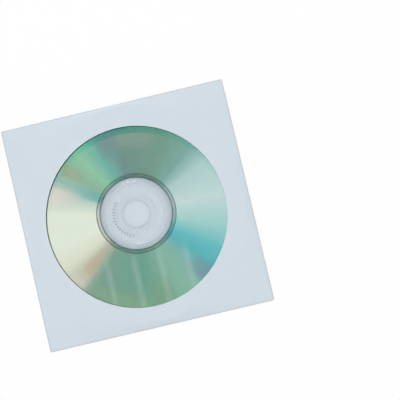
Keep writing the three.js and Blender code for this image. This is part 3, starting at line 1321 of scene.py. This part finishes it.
    def with_shade(self, tree: NodeTree, colour: NodeSocket, shade: RimShade) -> NodeSocket:
        """Darkens the sheen where the window's edge keeps the light away.

        Args:
            tree: The material's tree.
            colour: The sheen so far.
            shade: The shade.

        Returns:
            The sheen with the shade.
        """
        turn = math.radians(shade.towards)
        toward = np.array([math.cos(turn), math.sin(turn)])
        shifted = flat_offset(tree, np.array(self.window_centre) - toward * shade.shift)
        reach = add_node(tree, "ShaderNodeVectorMath", {0: shifted}, operation="LENGTH")
        depth = add_node(tree, "ShaderNodeMapRange", {
            "Value": reach.outputs["Value"],
            "From Min": (self.window_radius - shade.softness / 2) * MM,
            "From Max": (self.window_radius + shade.softness / 2) * MM},
            interpolation_type="SMOOTHSTEP")
        out = add_node(tree, "ShaderNodeVectorMath", {0: shifted}, operation="NORMALIZE")
        along = add_node(tree, "ShaderNodeVectorMath", {
            0: out.outputs[0], 1: (*toward, 0)}, operation="DOT_PRODUCT")
        side = add_node(tree, "ShaderNodeMapRange", {
            "Value": along.outputs["Value"], "From Min": math.cos(math.radians(shade.spread))})
        share = add_node(tree, "ShaderNodeMath", {
            0: depth.outputs[0], 1: side.outputs[0]}, operation="MULTIPLY")
        return add_node(tree, "ShaderNodeMix", {
            0: share.outputs[0], 6: colour, 7: (*shade.tint, 1)},
            data_type="RGBA", blend_type="MULTIPLY").outputs[2]


@dataclass
class Studio:
    """The pale floor, the soft light and the camera above the sleeve."""

    lens: float = 85.0
    camera_place: tuple[float, float, float] = (47.4, -28.9, 518.5)
    camera_direction: tuple[float, float, float] = (-0.0220, 0.0558, -0.9982)
    camera_up: tuple[float, float, float] = (0.2311, 0.9717, 0.0493)
    floor_size: float = 4000.0
    floor_drop: float = 0.02
    floor_colour: str = "F9F9F9"
    floor_glow: float = 0.8
    ambient: float = 0.815
    key_level: float = 0.22
    key_azimuth: float = 100.0
    key_elevation: float = 58.0
    key_distance: float = 4000.0
    key_size: float = 1000.0

    def camera(self) -> Object:
        """Makes the camera.

        Returns:
            The camera.
        """
        data = bpy.data.cameras.new("camera")
        data.lens = self.lens
        camera = bpy.data.objects.new("camera", data)
        back = -Vector(self.camera_direction).normalized()
        up = Vector(self.camera_up).normalized()
        right = up.cross(back).normalized()
        up = back.cross(right)
        turn = Matrix((right, up, back)).transposed().to_4x4()
        camera.matrix_world = Matrix.Translation(Vector(self.camera_place) * MM) @ turn
        bpy.context.scene.collection.objects.link(camera)
        bpy.context.scene.camera = camera
        return camera

    def key_light(self) -> Object:
        """Adds the square lamp that points at the sleeve.

        Its level is the share of plain light that it gives a white surface lying flat.

        Returns:
            The lamp.
        """
        across, rise = math.radians(self.key_azimuth), math.radians(self.key_elevation)
        flat = math.cos(rise)
        out = Vector((math.cos(across) * flat, math.sin(across) * flat, math.sin(rise)))
        distance = self.key_distance * MM
        data = bpy.data.lights.new("key_light", "AREA")
        data.size = self.key_size * MM
        data.energy = self.key_level * math.pi ** 2 * distance ** 2 / math.sin(rise)
        lamp = bpy.data.objects.new("key_light", data)
        lamp.location = out * distance
        lamp.rotation_mode = "QUATERNION"
        lamp.rotation_quaternion = (-out).to_track_quat("-Z", "Y")
        bpy.context.scene.collection.objects.link(lamp)
        return lamp

    def seen_directly(self, tree: NodeTree) -> NodeSocket:
        """Tells what the camera sees from what only lights the object.

        Args:
            tree: The tree of a material or of the world.

        Returns:
            1 for what is seen directly, in a gloss or through something clear, and 0 otherwise.
        """
        path = add_node(tree, "ShaderNodeLightPath")
        first = add_node(tree, "ShaderNodeMath", {
            0: path.outputs["Is Camera Ray"], 1: path.outputs["Is Glossy Ray"]}, operation="MAXIMUM")
        return add_node(tree, "ShaderNodeMath", {
            0: first.outputs[0], 1: path.outputs["Is Transmission Ray"]}, operation="MAXIMUM").outputs[0]

    def world(self) -> None:
        """Makes the surroundings: white to look at, and plain soft light for the object."""
        world = bpy.data.worlds.new("soft_white_room")
        world.use_nodes = True
        tree = world.node_tree
        tree.nodes.clear()
        strength = add_node(tree, "ShaderNodeMix", {
            0: self.seen_directly(tree), 2: self.ambient, 3: 1.0})
        light = add_node(tree, "ShaderNodeBackground", {
            "Color": (1, 1, 1, 1), "Strength": strength.outputs[0]})
        add_node(tree, "ShaderNodeOutputWorld", {0: light.outputs[0]}, is_active_output=True)
        bpy.context.scene.world = world

    def floor(self) -> Object:
        """Makes the floor, white to look at but for the object's soft shadow.

        Returns:
            The floor.
        """
        material, tree, output = new_material("white_table")
        board = add_node(tree, "ShaderNodeBsdfDiffuse", {"Color": linear(self.floor_colour)})
        glow = add_node(tree, "ShaderNodeEmission", {"Strength": 1.0})
        seen = add_node(tree, "ShaderNodeMixShader", {
            0: self.floor_glow, 1: board.outputs[0], 2: glow.outputs[0]})
        surface = add_node(tree, "ShaderNodeMixShader", {
            0: self.seen_directly(tree), 1: board.outputs[0], 2: seen.outputs[0]})
        tree.links.new(surface.outputs[0], output.inputs[0])
        mesh = bmesh.new()
        bmesh.ops.create_grid(mesh, x_segments=1, y_segments=1, size=self.floor_size / 2 * MM)
        bmesh.ops.translate(mesh, verts=mesh.verts, vec=(0, 0, -self.floor_drop * MM))
        data = bpy.data.meshes.new("table")
        mesh.to_mesh(data)
        mesh.free()
        data.materials.append(material)
        floor = bpy.data.objects.new("table", data)
        bpy.context.scene.collection.objects.link(floor)
        return floor

    def build(self) -> None:
        """Sets up the camera, the surroundings, the floor and the lamp."""
        self.camera()
        self.world()
        self.floor()
        self.key_light()
        bpy.context.scene.view_settings.view_transform = "Standard"


def main() -> None:
    """Builds the sleeve, its window, the disc and the studio, in that order."""
    logging.basicConfig(level=logging.INFO, format="%(name)s: %(message)s")
    form = SleeveForm()
    SleevePaper(form).build(EnvelopePaper((form.half_width, form.half_height)))
    WindowFilm(form).build(ClearFilm())
    disc = Disc()
    disc.moulding(ClearPolycarbonate(tuple(disc.centre)))
    disc.layer(DyeWithPaintedSheen(
        tuple(disc.centre), tuple(form.window_centre), form.window_diameter / 2))
    disc.ticks(HubInk())
    Studio().build()


if __name__ == "__main__":
    main()
